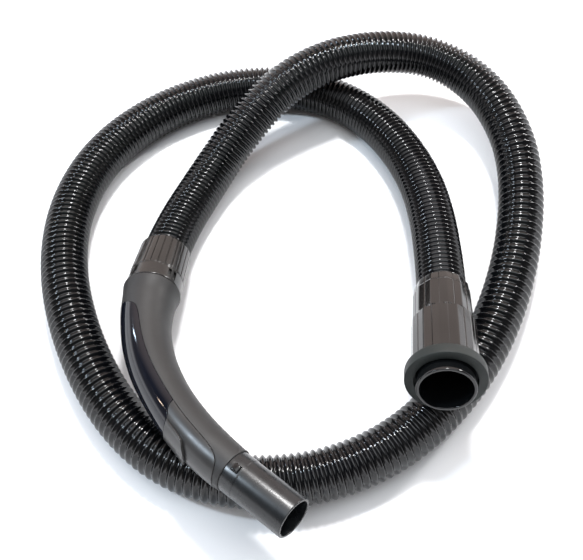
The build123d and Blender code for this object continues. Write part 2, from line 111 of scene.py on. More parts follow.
def make_piece(name, shape, body, material, sharp_deg, node):
    """A mesh object from a shape in the row's frame, riding on a body in place of a CAD node."""
    points, faces = shape
    mesh = bpy.data.meshes.new(name)
    mesh.from_pydata((np.asarray(points) / 1000.0).tolist(), [], [list(f) for f in faces])
    mesh.validate()
    shade(mesh, sharp_deg)
    mesh.materials.append(material)
    obj = bpy.data.objects.new(name, mesh)
    bpy.context.collection.objects.link(obj)
    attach(obj, body)
    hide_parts(node)
    return obj


def grid_faces(rows, cols, wrap_cols=True, wrap_rows=False):
    faces = []
    for i in range(rows if wrap_rows else rows - 1):
        a, b = i * cols, ((i + 1) % rows) * cols
        for j in range(cols if wrap_cols else cols - 1):
            k = (j + 1) % cols
            faces.append((a + j, a + k, b + k, b + j))
    return faces


def lathe(profile, segments):
    """Closed ring solid from a closed (radius, z) profile."""
    angles = np.linspace(0, 2 * math.pi, segments, endpoint=False)
    points = [(r * math.cos(a), r * math.sin(a), z) for r, z in profile for a in angles]
    return np.array(points), grid_faces(len(profile), segments, True, True)


def stack(loops):
    """Closed solid from a stack of equal loops, capped with a fan at each end."""
    points = np.concatenate(loops)
    rows, cols = len(loops), len(loops[0])
    faces = grid_faces(rows, cols)
    first, last = len(points), len(points) + 1
    points = np.vstack([points, loops[0].mean(axis=0), loops[-1].mean(axis=0)])
    for j in range(cols):
        k = (j + 1) % cols
        faces.append((k, j, first))
        faces.append(((rows - 1) * cols + j, (rows - 1) * cols + k, last))
    return points, faces


def shell(top, bottom):
    """Closed solid between two equal grids of points."""
    rows, cols = top.shape[:2]
    half = rows * cols
    faces = grid_faces(rows, cols, False)
    faces += [tuple(half + i for i in reversed(face)) for face in faces]
    rim = [(0, j) for j in range(cols)] + [(i, cols - 1) for i in range(1, rows)]
    rim += [(rows - 1, j) for j in range(cols - 2, -1, -1)] + [(i, 0) for i in range(rows - 2, 0, -1)]
    ids = [i * cols + j for i, j in rim]
    faces += [(p, q, half + q, half + p) for p, q in zip(ids, ids[1:] + ids[:1])]
    return np.concatenate([top.reshape(-1, 3), bottom.reshape(-1, 3)]), faces


def rounded_rectangle(half_x, half_y, radius, steps=5):
    """Loop of (x, y) points."""
    out = []
    for turn, sx, sy in ((0, 1, 1), (90, -1, 1), (180, -1, -1), (270, 1, -1)):
        x0, y0 = sx * (half_x - radius), sy * (half_y - radius)
        for a in np.radians(np.linspace(turn, turn + 90, steps + 1)):
            out.append((x0 + radius * math.cos(a), y0 + radius * math.sin(a)))
    return np.array(out)


def rounded(profile, radii, steps):
    """The closed profile with its corners rounded: one radius for each corner, 0 keeps it sharp."""
    out = []
    for i, radius in enumerate(radii):
        corner = np.array(profile[i], float)
        if radius <= 0:
            out.append(tuple(corner))
            continue
        a = np.array(profile[i - 1], float) - corner
        b = np.array(profile[(i + 1) % len(profile)], float) - corner
        length_a, length_b = np.linalg.norm(a), np.linalg.norm(b)
        a, b = a / length_a, b / length_b
        half = math.acos(max(-1.0, min(1.0, float(a @ b)))) / 2
        back = min(radius / math.tan(half), 0.48 * length_a, 0.48 * length_b)
        start, end = corner + a * back, corner + b * back
        for t in np.linspace(0.0, 1.0, steps + 1):
            out.append(tuple((1 - t) ** 2 * start + 2 * t * (1 - t) * corner + t * t * end))
    return out


def cut(obj, shapes, sharp_deg):
    """Take closed shapes out of a piece."""
    points, faces = [], []
    for shape_points, shape_faces in shapes:
        base = len(points)
        points.extend((np.asarray(shape_points) / 1000.0).tolist())
        faces.extend([tuple(base + i for i in face) for face in shape_faces])
    mesh = bpy.data.meshes.new("cutter")
    mesh.from_pydata(points, [], faces)
    shade(mesh, sharp_deg)
    cutter = bpy.data.objects.new("cutter", mesh)
    bpy.context.collection.objects.link(cutter)
    modifier = obj.modifiers.new("cut", "BOOLEAN")
    modifier.operation = "DIFFERENCE"
    modifier.solver = "EXACT"
    modifier.object = cutter
    bpy.context.view_layer.update()
    result = bpy.data.meshes.new_from_object(obj.evaluated_get(bpy.context.evaluated_depsgraph_get()))
    obj.modifiers.remove(modifier)
    obj.data = result
    bpy.data.objects.remove(cutter)
    bpy.data.meshes.remove(mesh)
    shade(result, sharp_deg)


# ------------------------------------------------------------------ materials
DRIFT_SCALE = 28.0  # slow change of colour
PATCH_SCALE = 90.0  # patches of higher and lower gloss
WAVE_SCALE = 120.0  # unevenness of the moulded surface


def new_material(name, color, roughness, specular):
    mat = bpy.data.materials.new(name)
    mat.use_nodes = True
    shader = mat.node_tree.nodes["Principled BSDF"]
    shader.inputs["Base Color"].default_value = (*color, 1.0)
    shader.inputs["Roughness"].default_value = roughness
    shader.inputs["Specular IOR Level"].default_value = specular
    return mat, mat.node_tree, shader


def noise(tree, scale, detail, roughness=0.55):
    tex = tree.nodes.new("ShaderNodeTexNoise")
    tex.inputs["Scale"].default_value = scale
    tex.inputs["Detail"].default_value = detail
    tex.inputs["Roughness"].default_value = roughness
    coord = tree.nodes.new("ShaderNodeTexCoord")
    tree.links.new(coord.outputs["Object"], tex.inputs["Vector"])
    return tex.outputs["Fac"]


def spread(tree, factor, low, high, value_low=0.0, value_high=1.0):
    """Map a factor's range to a range of values."""
    node = tree.nodes.new("ShaderNodeMapRange")
    node.inputs["From Min"].default_value = low
    node.inputs["From Max"].default_value = high
    node.inputs["To Min"].default_value = value_low
    node.inputs["To Max"].default_value = value_high
    tree.links.new(factor, node.inputs["Value"])
    return node.outputs["Result"]


def blend(tree, factor, low, high, dark, light):
    """Map a factor's range to a blend of two colours."""
    node = tree.nodes.new("ShaderNodeMix")
    node.data_type = "RGBA"
    tree.links.new(spread(tree, factor, low, high), node.inputs["Factor"])
    node.inputs["A"].default_value = (*dark, 1.0)
    node.inputs["B"].default_value = (*light, 1.0)
    return node.outputs["Result"]


def bump(tree, shader, layers):
    """One bump node after another, each from (height socket, depth in mm)."""
    previous = None
    for height, depth in layers:
        node = tree.nodes.new("ShaderNodeBump")
        node.inputs["Strength"].default_value = 1.0
        node.inputs["Distance"].default_value = depth / 1000.0
        tree.links.new(height, node.inputs["Height"])
        if previous is not None:
            tree.links.new(previous, node.inputs["Normal"])
        previous = node.outputs["Normal"]
    tree.links.new(previous, shader.inputs["Normal"])


def worn_plastic(name, dark, light, rough, grain_scale, grain_mm, specular=0.5):
    """Moulded plastic: slow colour drift, patchy gloss, a slightly uneven surface and fine mould grain."""
    mat, tree, shader = new_material(name, dark, rough[0], specular)
    drift = noise(tree, DRIFT_SCALE, 4.0)
    tree.links.new(blend(tree, drift, 0.35, 0.68, dark, light), shader.inputs["Base Color"])
    patch = noise(tree, PATCH_SCALE, 5.0, 0.6)
    tree.links.new(spread(tree, patch, 0.3, 0.72, *rough), shader.inputs["Roughness"])
    wave = noise(tree, WAVE_SCALE, 2.0)
    grain = noise(tree, grain_scale, 2.0)
    bump(tree, shader, [(wave, 2.0 * grain_mm), (grain, grain_mm)])
    return mat


# name, dark and light colour, lowest and highest roughness, scale and depth in mm of the grain
HOSE_BLACK = worn_plastic(
    "hose_black", (0.0015, 0.0018, 0.0024), (0.0032, 0.0035, 0.0041), (0.09, 0.15), 900.0, 0.008, specular=0.42,
)
SATIN_BLACK = worn_plastic(
    "satin_black", (0.012, 0.0117, 0.0117), (0.0165, 0.0162, 0.0162), (0.50, 0.58), 2600.0, 0.012, specular=0.45,
)
GLOSS_BLACK = worn_plastic(
    "gloss_black", (0.0026, 0.003, 0.0034), (0.0045, 0.005, 0.0056), (0.05, 0.09), 500.0, 0.003,
)
COVER_GLOSS = worn_plastic(
    "cover_gloss", (0.0018, 0.0026, 0.0058), (0.003, 0.0042, 0.0085), (0.05, 0.09), 500.0, 0.003, specular=0.42,
)
CUFF_BLACK = worn_plastic(
    "cuff_black", (0.011, 0.0102, 0.0095), (0.016, 0.0148, 0.014), (0.17, 0.26), 1200.0, 0.006,
)
CUFF_BLACK_GLOSS = worn_plastic(
    "cuff_black_gloss", (0.008, 0.0072, 0.0068), (0.012, 0.0108, 0.0102), (0.08, 0.14), 900.0, 0.004,
)
COVER_SATIN = worn_plastic(
    "cover_satin", (0.020, 0.0195, 0.0195), (0.027, 0.0265, 0.0265), (0.28, 0.36), 2600.0, 0.010,
)
NOZZLE_BLACK = worn_plastic(
    "nozzle_black", (0.0045, 0.0056, 0.0066), (0.008, 0.0094, 0.0108), (0.24, 0.33), 900.0, 0.004,
)
SLIP_PLASTIC = worn_plastic(
    "slip_plastic", (0.58, 0.57, 0.53), (0.64, 0.63, 0.59), (0.35, 0.48), 1500.0, 0.006,
)
SEAL_RUBBER = worn_plastic(
    "seal_rubber", (0.016, 0.016, 0.016), (0.024, 0.024, 0.023), (0.55, 0.68), 1800.0, 0.01,
)
SPRING_STEEL = worn_plastic(
    "spring_steel", (0.50, 0.50, 0.51), (0.58, 0.58, 0.58), (0.26, 0.38), 1400.0, 0.003,
)
SPRING_STEEL.node_tree.nodes["Principled BSDF"].inputs["Metallic"].default_value = 1.0
FLANGE_RUBBER = worn_plastic(
    "flange_rubber", (0.006, 0.009, 0.0085), (0.010, 0.0135, 0.0125), (0.50, 0.62), 1800.0, 0.01, specular=0.35,
)

# ------------------------------------------------------------------ hose
HOSE_MIDDLE = [
    (-82, 231, 22), (-56, 270, 38), (-16, 311, 63), (30, 341, 70), (80, 360, 66), (127, 366, 58),
    (166, 352, 51), (194, 322, 45), (210, 281, 40), (216, 238, 35), (212, 184, 29), (196, 117, 24),
    (168, 50, 21.2), (130, -6, 21.2), (84, -49, 21.2), (33, -74, 21.2), (-19, -83, 21.2),
    (-70, -78, 21.2), (-116, -54, 21.2), (-157, -8, 21.2), (-191, 58, 21.2), (-211, 129, 21.2),
    (-211, 199, 21.2), (-188, 264, 21.2), (-143, 315, 21.2), (-87, 347, 21.2), (-32, 358, 21.2),
    (17, 351, 21.2), (59, 329, 21.2), (92, 293, 21.2), (115, 243, 24.5), (126, 184, 33.5),
]
SOCKET_DEPTH = 28.0  # each end of the hose goes this far into its cuff
ENTRY_RUNS = (22.5, 27.5)  # from the handle's and the connector's cuffs out to the first bends
HOSE_ROUTE = [HANDLE_RIM + SOCKET_DEPTH * HANDLE_AXIS, HANDLE_RIM - ENTRY_RUNS[0] * HANDLE_AXIS]
HOSE_ROUTE += [Vector(p) for p in HOSE_MIDDLE]
HOSE_ROUTE += [HOSE_EXIT - ENTRY_RUNS[1] * CONNECTOR_AXIS, HOSE_EXIT + SOCKET_DEPTH * CONNECTOR_AXIS]

# (distance along the hose, pitch of its ridges): squeezed where it was pushed together, open where it was pulled
PITCHES = [
    (0, 4.8), (79, 4.81), (133, 4.92), (240, 5.3), (353, 5.4), (405, 4.9), (430, 5.0), (482, 5.67), (540, 6.56),
    (599, 7.05), (682, 7.2), (780, 6.7), (885, 6.12), (965, 6.15), (1100, 6.1), (1212, 5.95), (1306, 5.54),
    (1379, 5.1), (1464, 5.05), (1519, 5.28), (1640, 5.0), (1758, 4.76), (1820, 4.98), (1888, 5.28), (2020, 5.3),
]
# radii across one ridge, and where each stands within the pitch
RIDGE = [18.35, 19.1, 20.6, 21.0, 20.6, 19.1]
RIDGE_AT = [0.0, 0.15, 0.34, 0.5, 0.66, 0.85]
AROUND = 44
FIRST_TURN = 0.3
BORE_R = 18.0
BORE_DEPTH = 60.0  # how far in each open end is hollow
BORE_STEPS = 10


def spline_points(route_mm):
    """Points along the smooth NURBS line whose control points are the route."""
    curve = bpy.data.curves.new("route", "CURVE")
    curve.dimensions = "3D"
    spline = curve.splines.new("NURBS")
    spline.points.add(len(route_mm) - 1)
    for point, p in zip(spline.points, route_mm):
        point.co = (*(p / 1000.0), 1.0)
    spline.order_u = 3
    spline.use_endpoint_u = True
    spline.resolution_u = 40
    obj = bpy.data.objects.new("route", curve)
    mesh = bpy.data.meshes.new_from_object(obj)
    points = np.array([v.co for v in mesh.vertices], float) * 1000.0
    bpy.data.meshes.remove(mesh)
    bpy.data.objects.remove(obj)
    bpy.data.curves.remove(curve)
    return points


class Path:
    """Arc-length lookup of place and a frame that doesn't twist, in millimetres."""

    def __init__(self, points):
        self.points = points
        steps = np.linalg.norm(np.diff(points, axis=0), axis=1)
        self.s = np.concatenate([[0.0], np.cumsum(steps)])
        self.length = float(self.s[-1])
        tangent = np.gradient(points, self.s, axis=0)
        self.tangent = tangent / np.linalg.norm(tangent, axis=1)[:, None]
        normal = np.zeros_like(points)
        n = np.cross(self.tangent[0], (0, 0, 1.0))
        for i, t in enumerate(self.tangent):
            n = n - t * (n @ t)
            n = n / np.linalg.norm(n)
            normal[i] = n
        self.normal = normal

    def at(self, s):
        tables = (self.points, self.tangent, self.normal)
        columns = [[np.interp(s, self.s, table[:, k]) for k in range(3)] for table in tables]
        place, tangent, normal = (np.stack(c, axis=-1) for c in columns)
        tangent /= np.linalg.norm(tangent, axis=-1)[..., None]
        normal -= tangent * np.sum(tangent * normal, axis=-1)[..., None]
        normal /= np.linalg.norm(normal, axis=-1)[..., None]
        return place, tangent, normal, np.cross(tangent, normal)

    def ring(self, s, radius, angle):
        place, _, n, b = self.at(s)
        return place + radius[..., None] * (np.cos(angle)[..., None] * n + np.sin(angle)[..., None] * b)


def ridge_faces(rows, per):
    """Each turn of the grid's rows climbs one pitch, and closes on the turn after it."""
    faces = []
    for row in range(rows - 1):
        low, high = row * AROUND, (row + 1) * AROUND
        faces += [(low + col, low + col + 1, high + col + 1, high + col) for col in range(AROUND - 1)]
        if row + 1 + per < rows:
            last = AROUND - 1
            faces.append((low + last, low + per * AROUND, high + per * AROUND, high + last))
    return faces


def end_bore(path, s, inward, base):
    """Rings from an open end inward, closed with a cap; base is the number of their first point."""
    angle = 2 * math.pi * np.arange(AROUND) / AROUND
    rings = [
        path.ring(np.full(AROUND, s + inward * depth), np.full(AROUND, BORE_R), angle)
        for depth in np.linspace(0.0, BORE_DEPTH, BORE_STEPS + 1)
    ]
    cap = path.at(np.array([s + inward * BORE_DEPTH]))[0]
    faces = [tuple(base + i for i in face) for face in grid_faces(BORE_STEPS + 1, AROUND)]
    last = base + BORE_STEPS * AROUND
    faces += [(last + a, last + (a + 1) % AROUND, last + AROUND) for a in range(AROUND)]
    return np.concatenate(rings + [cap]), faces


def rim_faces(ids, base, at_start):
    """Faces from the ridge's cut end to the bore's rim."""
    last = base + AROUND - 1
    faces = [(ids[a + 1], ids[a], base + a, base + a + 1) for a in range(AROUND - 1)]
    if at_start:
        faces.append((ids[AROUND], ids[AROUND - 1], last, base))
        faces += [(ids[k + 1], ids[k], base) for k in range(AROUND, len(ids) - 1)]
        faces.append((ids[0], ids[-1], base))
    else:
        faces += [(ids[k + 1], ids[k], last) for k in range(AROUND - 1, len(ids) - 1)]
        faces.append((ids[0], ids[-1], last, base))
    return faces


def hose_shape(path):
    """One helical ridge from end to end, with a hollow bore at each end."""
    fine = np.linspace(0, path.length, 4000)
    pitch = np.interp(fine, *zip(*PITCHES))
    turns = np.concatenate([[0.0], np.cumsum(np.diff(fine) / ((pitch[1:] + pitch[:-1]) / 2))])
    per = len(RIDGE)
    rows = (int(turns[-1]) - 1) * per
    i, j = np.meshgrid(np.arange(rows), np.arange(AROUND), indexing="ij")
    turn = i // per + np.array(RIDGE_AT)[i % per] + j / AROUND + FIRST_TURN
    s = np.interp(turn, turns, fine)
    blocks = [path.ring(s, np.array(RIDGE)[i % per], 2 * math.pi * j / AROUND).reshape(-1, 3)]
    faces = ridge_faces(rows, per)
    top = rows - 1
    start = [(0, j) for j in range(AROUND)] + [(k, 0) for k in range(per, 0, -1)]
    end = [(top, j) for j in range(AROUND)] + [(k, AROUND - 1) for k in range(top - 1, top - per - 1, -1)]
    for rim, end_s, inward in ((start, 0.0, 1.0), (end, path.length, -1.0)):
        base = sum(len(block) for block in blocks)
        points, bore_faces = end_bore(path, end_s, inward, base)
        blocks.append(points)
        faces += rim_faces([i * AROUND + j for i, j in rim], base, inward > 0)
        faces += bore_faces
    return np.concatenate(blocks), faces


def add_hose():
    path = Path(spline_points(HOSE_ROUTE))
    piece = make_piece("hose_corrugated", hose_shape(path), "hose", HOSE_BLACK, 180.0, "hose")


# ---------------------------------- handle: a bent centreline, a radius along it, angles from the convex side
CUFF_LENGTH = 50.3
RIM_AT = CUFF_LENGTH + 0.5  # the handle's rim stands just off the cuff
BEND_1 = (175.2, math.radians(30.9))  # radius, angle
BEND_2 = (251.4, math.radians(25.0))
ARC_1 = BEND_1[0] * BEND_1[1]
ARC_2 = BEND_2[0] * BEND_2[1]
SHOULDER = ARC_1 + ARC_2 + 1.0
AIRWAY_R = 15.0
SKIN_END = 205.1
# (distance along the centreline, outer radius)
SECTIONS = np.array([
    (0, 25.4), (10, 23.6), (24, 22.4), (44, 20.9), (66, 20.1),
    (90, 19.3), (120, 18.5), (150, 18.3), (180, 18.1), (SKIN_END, 17.3),
])
# outline of the leaf, and the joint between its two covers: (distance along, degrees from the convex side)
LEAF_EDGE = [
    (22.0, 0.0), (22.4, 16.0), (23.5, 30.0), (25.5, 42.9), (28.6, 56.5), (32.8, 69.0), (39.0, 74.5), (49.2, 77.8),
    (65.0, 79.3), (81.3, 80.7), (104.0, 82.0), (127.5, 82.5), (141.0, 81.5), (153.7, 80.5), (165.0, 79.6),
    (172.5, 78.5), (183.9, 75.3), (191.7, 68.6), (196.5, 57.0), (199.0, 38.0), (199.8, 18.0), (200.0, 0.0),
]
SPLIT = [
    (148.0, 0.0), (147.7, 13.0), (146.9, 25.7), (145.8, 38.0), (144.2, 48.0),
    (142.0, 55.5), (139.7, 61.2), (137.6, 70.4), (136.3, 82.0),
]
NOSE_END, SPLIT_END, TAIL_START = 32.8, SPLIT[-1][0], 191.7
LEAF_SKIN = (-0.65, 0.5)  # inner and outer face of the covers, from the handle's surface
POCKET_GAP = 0.3
POCKET_DEPTH = 0.75
POCKET_LIP = 0.18
# bleed port: half its length and width, its corners, how far down and up it is cut, where it is
PORT = (11.25, 3.1)
PORT_CORNER = 0.8
PORT_HEIGHTS = (10.0, 26.0)
PORT_AT = 162.25
SLIDER_FOOT = (3.0, 2.6)
SLIDER_FOOT_HEIGHTS = (12.8, 19.4)
SLIDER_FOOT_AT = 162.2


def hermite(x, table):
    """Smooth curve through (x, y) rows."""
    xs, ys = np.array(table, float).T
    slopes = np.gradient(ys, xs)
    x = np.clip(x, xs[0], xs[-1])
    i = np.clip(np.searchsorted(xs, x) - 1, 0, len(xs) - 2)
    h = xs[i + 1] - xs[i]
    u = (x - xs[i]) / h
    return ((2 * u**3 - 3 * u**2 + 1) * ys[i] + (u**3 - 2 * u**2 + u) * h * slopes[i]
            + (3 * u**2 - 2 * u**3) * ys[i + 1] + (u**3 - u**2) * h * slopes[i + 1])


def radius_at(s):
    return hermite(np.asarray(s, float), SECTIONS)


def centreline(s):
    """Place in the bend's plane and heading, at a distance along from the handle's rim."""
    s = np.asarray(s, float)
    (r1, a1), (r2, a2) = BEND_1, BEND_2
    h1 = np.clip(s / r1, 0, a1)
    h = h1 + np.clip((s - ARC_1) / r2, 0, a2)
    run = np.maximum(s - ARC_1 - ARC_2, 0)
    x = RIM_AT + np.minimum(s, 0) + r1 * np.sin(h1) + r2 * (np.sin(h) - np.sin(h1)) + run * np.cos(h)
    y = r1 * (1 - np.cos(h1)) + r2 * (np.cos(h1) - np.cos(h)) + run * np.sin(h)
    return x, y, h


def handle_point(s, angle, radius):
    """Points at a distance along, an angle from the convex side and a radius from the centreline."""
    x, y, h = centreline(s)
    out, up = radius * np.cos(angle), radius * np.sin(angle)
    along = (x + out * np.sin(h))[..., None] * np.array(HANDLE_AXIS)
    across = (y - out * np.cos(h))[..., None] * np.array(HANDLE_SIDE)
    return np.array(HANDLE_RIM) + along + across + up[..., None] * np.array(HANDLE_NORMAL)


def station(s, turn_deg=0.0):
    """Frame across the handle: Z along it, X out of the bend's plane turned toward the convex side."""
    x, y, h = (float(v) for v in centreline(s))
    along = math.cos(h) * HANDLE_AXIS + math.sin(h) * HANDLE_SIDE
    convex = math.sin(h) * HANDLE_AXIS - math.cos(h) * HANDLE_SIDE
    turn = math.radians(turn_deg)
    up = math.cos(turn) * HANDLE_NORMAL + math.sin(turn) * convex
    return frame_matrix(HANDLE_RIM + x * HANDLE_AXIS + y * HANDLE_SIDE, up, along)


def smooth_curve(points, count=80):
    """Even points along the smooth curve through (s, degrees) points, as (s, width) in mm."""
    p = np.array(points, float)
    p[:, 1] = np.radians(p[:, 1]) * radius_at(p[:, 0])
    t = np.concatenate([[0.0], np.cumsum(np.linalg.norm(np.diff(p, axis=0), axis=1))])
    fine = np.linspace(0, t[-1], 2000)
    q = np.stack([hermite(fine, np.stack([t, p[:, k]], axis=1)) for k in range(2)], axis=1)
    d = np.concatenate([[0.0], np.cumsum(np.linalg.norm(np.diff(q, axis=0), axis=1))])
    even = np.linspace(0, d[-1], count)
    return np.stack([np.interp(even, d, q[:, k]) for k in range(2)], axis=1)


def outset(curve, gap):
    """The curve moved sideways by the gap."""
    d = np.gradient(curve, axis=0)
    d /= np.linalg.norm(d, axis=1)[:, None]
    return curve + gap * np.stack([-d[:, 1], d[:, 0]], axis=1)


def block(half_along, half_across, heights, at):
    """Rounded box on the convex side, between two distances from the centreline."""
    loop = rounded_rectangle(half_along, half_across, PORT_CORNER, 3)
    loops = [np.stack([loop[:, 1], np.full(len(loop), height), loop[:, 0]], axis=1) for height in heights]
    return placed(station(at), stack(loops))


def port():
    return block(*PORT, PORT_HEIGHTS, PORT_AT)


# the skin's first and last rows: (distance along, how far the surface drops to round the edge)
RIM_ROWS = [(0.75, 0.5), (0.9, 0.15), (1.2, 0.0)]
SHOULDER_ROWS = [(204.95, 0.14), (SKIN_END, 0.5)]
ROW_GAP = 0.12  # from the pocket's ends to the nearest row
LEAST_POCKET = math.radians(0.5)
FLOOR_POINTS = 33
OUTER_POINTS = 64
# inner wall: nozzle's seat, airway, then the neck and its collar inside the cuff
SEAT_WALL = [(SKIN_END, 15.95), (191.2, 15.95), (191.2, AIRWAY_R)]
AIRWAY_WALL = [(s, AIRWAY_R) for s in np.linspace(184, 0, 24)]
NECK_WALL = [
    (-12.9, AIRWAY_R), (-12.9, 19.6), (-12.5, 20.0), (-10.3, 20.0), (-10.3, 21.8), (-10.1, 22.0),
    (-8.1, 22.0), (-7.9, 21.8), (-7.9, 20.0), (0.75, 20.0),
]


def handle_skin_rows():
    """Rows of points round the handle, denser over the leaf's pocket, and the angles of the last row."""
    edge = outset(smooth_curve(LEAF_EDGE, 190), POCKET_GAP)[1:-1]
    pocket_s, pocket_w = edge[:, 0], edge[:, 1]
    s_rows = np.concatenate([
        [s for s, _ in RIM_ROWS], np.linspace(1.8, pocket_s[0] - ROW_GAP, 18), pocket_s,
        np.linspace(pocket_s[-1] + ROW_GAP, 204.6, 6), [s for s, _ in SHOULDER_ROWS],
    ])
    drop = np.zeros(len(s_rows))
    drop[:len(RIM_ROWS)] = [d for _, d in RIM_ROWS]
    drop[-len(SHOULDER_ROWS):] = [d for _, d in SHOULDER_ROWS]
    inside = (s_rows >= pocket_s[0] - 1e-9) & (s_rows <= pocket_s[-1] + 1e-9)
    radius = radius_at(s_rows)
    pocket = np.where(inside, np.interp(s_rows, pocket_s, pocket_w) / radius, LEAST_POCKET)
    pocket = np.maximum(pocket, LEAST_POCKET)
    rows = []
    for s, edge_at, is_pocket, fall, r in zip(s_rows, pocket, inside, drop, radius):
        outer_from = edge_at + POCKET_LIP / r
        outer = outer_from + np.linspace(0, 1, OUTER_POINTS) * (2 * math.pi - 2 * outer_from)
        floor_angles = np.linspace(-1, 1, FLOOR_POINTS) * edge_at
        angle = np.concatenate([floor_angles, [edge_at], outer, [2 * math.pi - edge_at]])
        lip = -POCKET_LIP if is_pocket else 0.0
        sunk = -POCKET_DEPTH if is_pocket else 0.0
        height = np.concatenate([np.full(FLOOR_POINTS, sunk), [lip], np.zeros(OUTER_POINTS), [lip]])
        rows.append(handle_point(np.full(len(angle), s), angle, r + height - fall))
    return rows, angle


def add_handle_body():
    rows, angle = handle_skin_rows()
    for s, r in SEAT_WALL + AIRWAY_WALL + NECK_WALL:
        rows.append(handle_point(np.full(len(angle), s), angle, np.full(len(angle), r)))
    shape = np.concatenate(rows), grid_faces(len(rows), len(angle), True, True)
    body = make_piece("handle_moulding", shape, "handle", SATIN_BLACK, 34.0, "handle_body")
    cut(body, [port()], 34.0)


def across(u, half):
    """A half curve from the middle out, mirrored, read at u from -1 to 1."""
    grid = np.linspace(0, 1, len(half))
    s = np.interp(np.abs(u), grid, half[:, 0])
    w = np.interp(np.abs(u), grid, half[:, 1]) * np.sign(u)
    return np.stack([s, w], axis=-1)


def graded(count, length, steps=(0.06, 0.16, 0.32, 0.55, 0.9)):
    """Parameters from 0 to 1, close together at both ends."""
    near = [d / length for d in steps]
    middle = np.linspace(near[-1], 1 - near[-1], count)[1:-1]
    return np.concatenate([[0.0], near, middle, [1 - n for n in reversed(near)], [1.0]])


def fill(outline, t, u):
    """(s, width) points within two end curves and a side curve, mirrored."""
    start, end, side = outline
    a, b = t[..., None], (u[..., None] + 1) / 2
    grid = np.linspace(0, 1, len(side))
    right = np.stack([np.interp(t, grid, side[:, k]) for k in range(2)], axis=-1)
    mirror = np.array([1, -1])
    first, last = side[0], side[-1]
    corners = (1 - a) * ((1 - b) * first * mirror + b * first) + a * ((1 - b) * last * mirror + b * last)
    return (1 - a) * across(u, start) + a * across(u, end) + (1 - b) * right * mirror + b * right - corners


def skin_patch(outline, bottom, top_at, fillet, counts, size):
    """Closed shell that follows the handle's skin within an outline, with a rounded upper edge."""
    length, width = size
    t, u = np.meshgrid(graded(counts[0], length), 2 * graded(counts[1], width) - 1, indexing="ij")
    v = (u + 1) / 2
    flat = fill(outline, t, u)
    s = flat[..., 0]
    r = radius_at(s)
    angle = flat[..., 1] / r
    edge = np.minimum(np.minimum(t, 1 - t) * length, np.minimum(v, 1 - v) * width)
    inward = np.clip(fillet - edge, 0, fillet)
    top = top_at(t, v) - fillet + np.sqrt(fillet**2 - inward**2)
    return shell(handle_point(s, angle, r + top), handle_point(s, angle, r + bottom))


def cover_top(t, v):
    return np.full(t.shape, LEAF_SKIN[1])


def add_grip_cover():
    nose = [p for p in LEAF_EDGE if p[0] <= NOSE_END]
    flank = [p for p in LEAF_EDGE if NOSE_END <= p[0] < SPLIT_END] + [SPLIT[-1]]
    outline = smooth_curve(nose), smooth_curve(SPLIT), smooth_curve(flank, 200)
    shape = skin_patch(outline, LEAF_SKIN[0], cover_top, 0.5, (130, 44), (118.0, 56.0))
    make_piece("grip_cover_gloss", shape, "handle", COVER_GLOSS, 40.0, "grip_cover")


def add_vent_cover():
    joint = [(s + 0.45, a) for s, a in SPLIT]
    flank = joint[-1:] + [p for p in LEAF_EDGE if SPLIT_END < p[0] <= TAIL_START]
    tail = [p for p in reversed(LEAF_EDGE) if p[0] >= TAIL_START]
    outline = smooth_curve(joint), smooth_curve(tail), smooth_curve(flank, 120)
    shape = skin_patch(outline, LEAF_SKIN[0], cover_top, 0.45, (64, 44), (54.0, 50.0))
    cover = make_piece("vent_cover_satin", shape, "handle", COVER_SATIN, 40.0, "vent_cover")
    cut(cover, [port()], 40.0)


PAD_WIDTH = 27.0
PAD_FRONT = (145.9, 44.7)
PAD_BACK = (166.6, 41.0)


def pad_top(t, v):
    """Rises toward the nozzle, with a raised border and a dished middle."""
    side = np.minimum(v, 1 - v) * PAD_WIDTH
    border = 0.55 * np.exp(-(((side - 1.3) / 1.0) ** 2)) * np.clip(t * 6, 0, 1)
    dish = -0.5 * np.exp(-(((v - 0.5) / 0.26) ** 2)) * np.clip(4 * t * (1 - t), 0, 1)
    return 1.5 + 1.35 * t**1.5 + border + dish


def add_thumb_pad():
    front = [(s + 0.9, a) for s, a in SPLIT if a <= 38.0] + [PAD_FRONT]
    flank = [PAD_FRONT, (150.0, 44.7), (157.0, 44.7), (162.0, 43.4), PAD_BACK]
    back = [(174.4, 0.0), (174.0, 12.0), (172.6, 21.5), (170.6, 28.0), (168.8, 36.0), PAD_BACK]
    outline = smooth_curve(front), smooth_curve(back), smooth_curve(flank)
    points, faces = skin_patch(outline, 0.85, pad_top, 0.45, (30, 30), (26.0, PAD_WIDTH))
    foot_points, foot_faces = block(*SLIDER_FOOT, SLIDER_FOOT_HEIGHTS, SLIDER_FOOT_AT)
    faces += [tuple(len(points) + i for i in face) for face in foot_faces]
    shape = np.vstack([points, foot_points]), faces
    make_piece("bleed_thumb_pad", shape, "slider", COVER_SATIN, 40.0, "bleed_slider")


# ------------------------------------------------------------------ nozzle and lock, from the shoulder outward
NOZZLE_R = 16.2
NOZZLE_BORE_R = 14.2
NOZZLE_LENGTH = 58.0
NOZZLE_SEAT = (-14.0, 15.88)  # start, radius
LAND_R = 16.45
LAND_END = (11.1, 12.1)
POCKET_R = 14.8  # wider bore behind the lock
LOCK_AT = 7.0
LOCK_TURN = 15.6
LOCK_HOLE = (3.3, 0.8)  # half side, corner radius
# distance from the nozzle's axis, half side, corner radius
LOCK_SECTIONS = [
    (12.4, 4.4, 0.8), (13.3, 4.4, 0.8), (13.4, 4.3, 0.8), (13.4, 3.0, 1.0), (16.6, 3.0, 1.0),
    (17.3, 2.93, 1.0), (17.7, 2.65, 0.95), (17.93, 2.2, 0.9), (18.0, 1.2, 0.5),
]


def square_loop(height, half, corner):
    loop = rounded_rectangle(half, half, corner)
    return np.stack([np.full(len(loop), height), loop[:, 0], loop[:, 1]], axis=1)


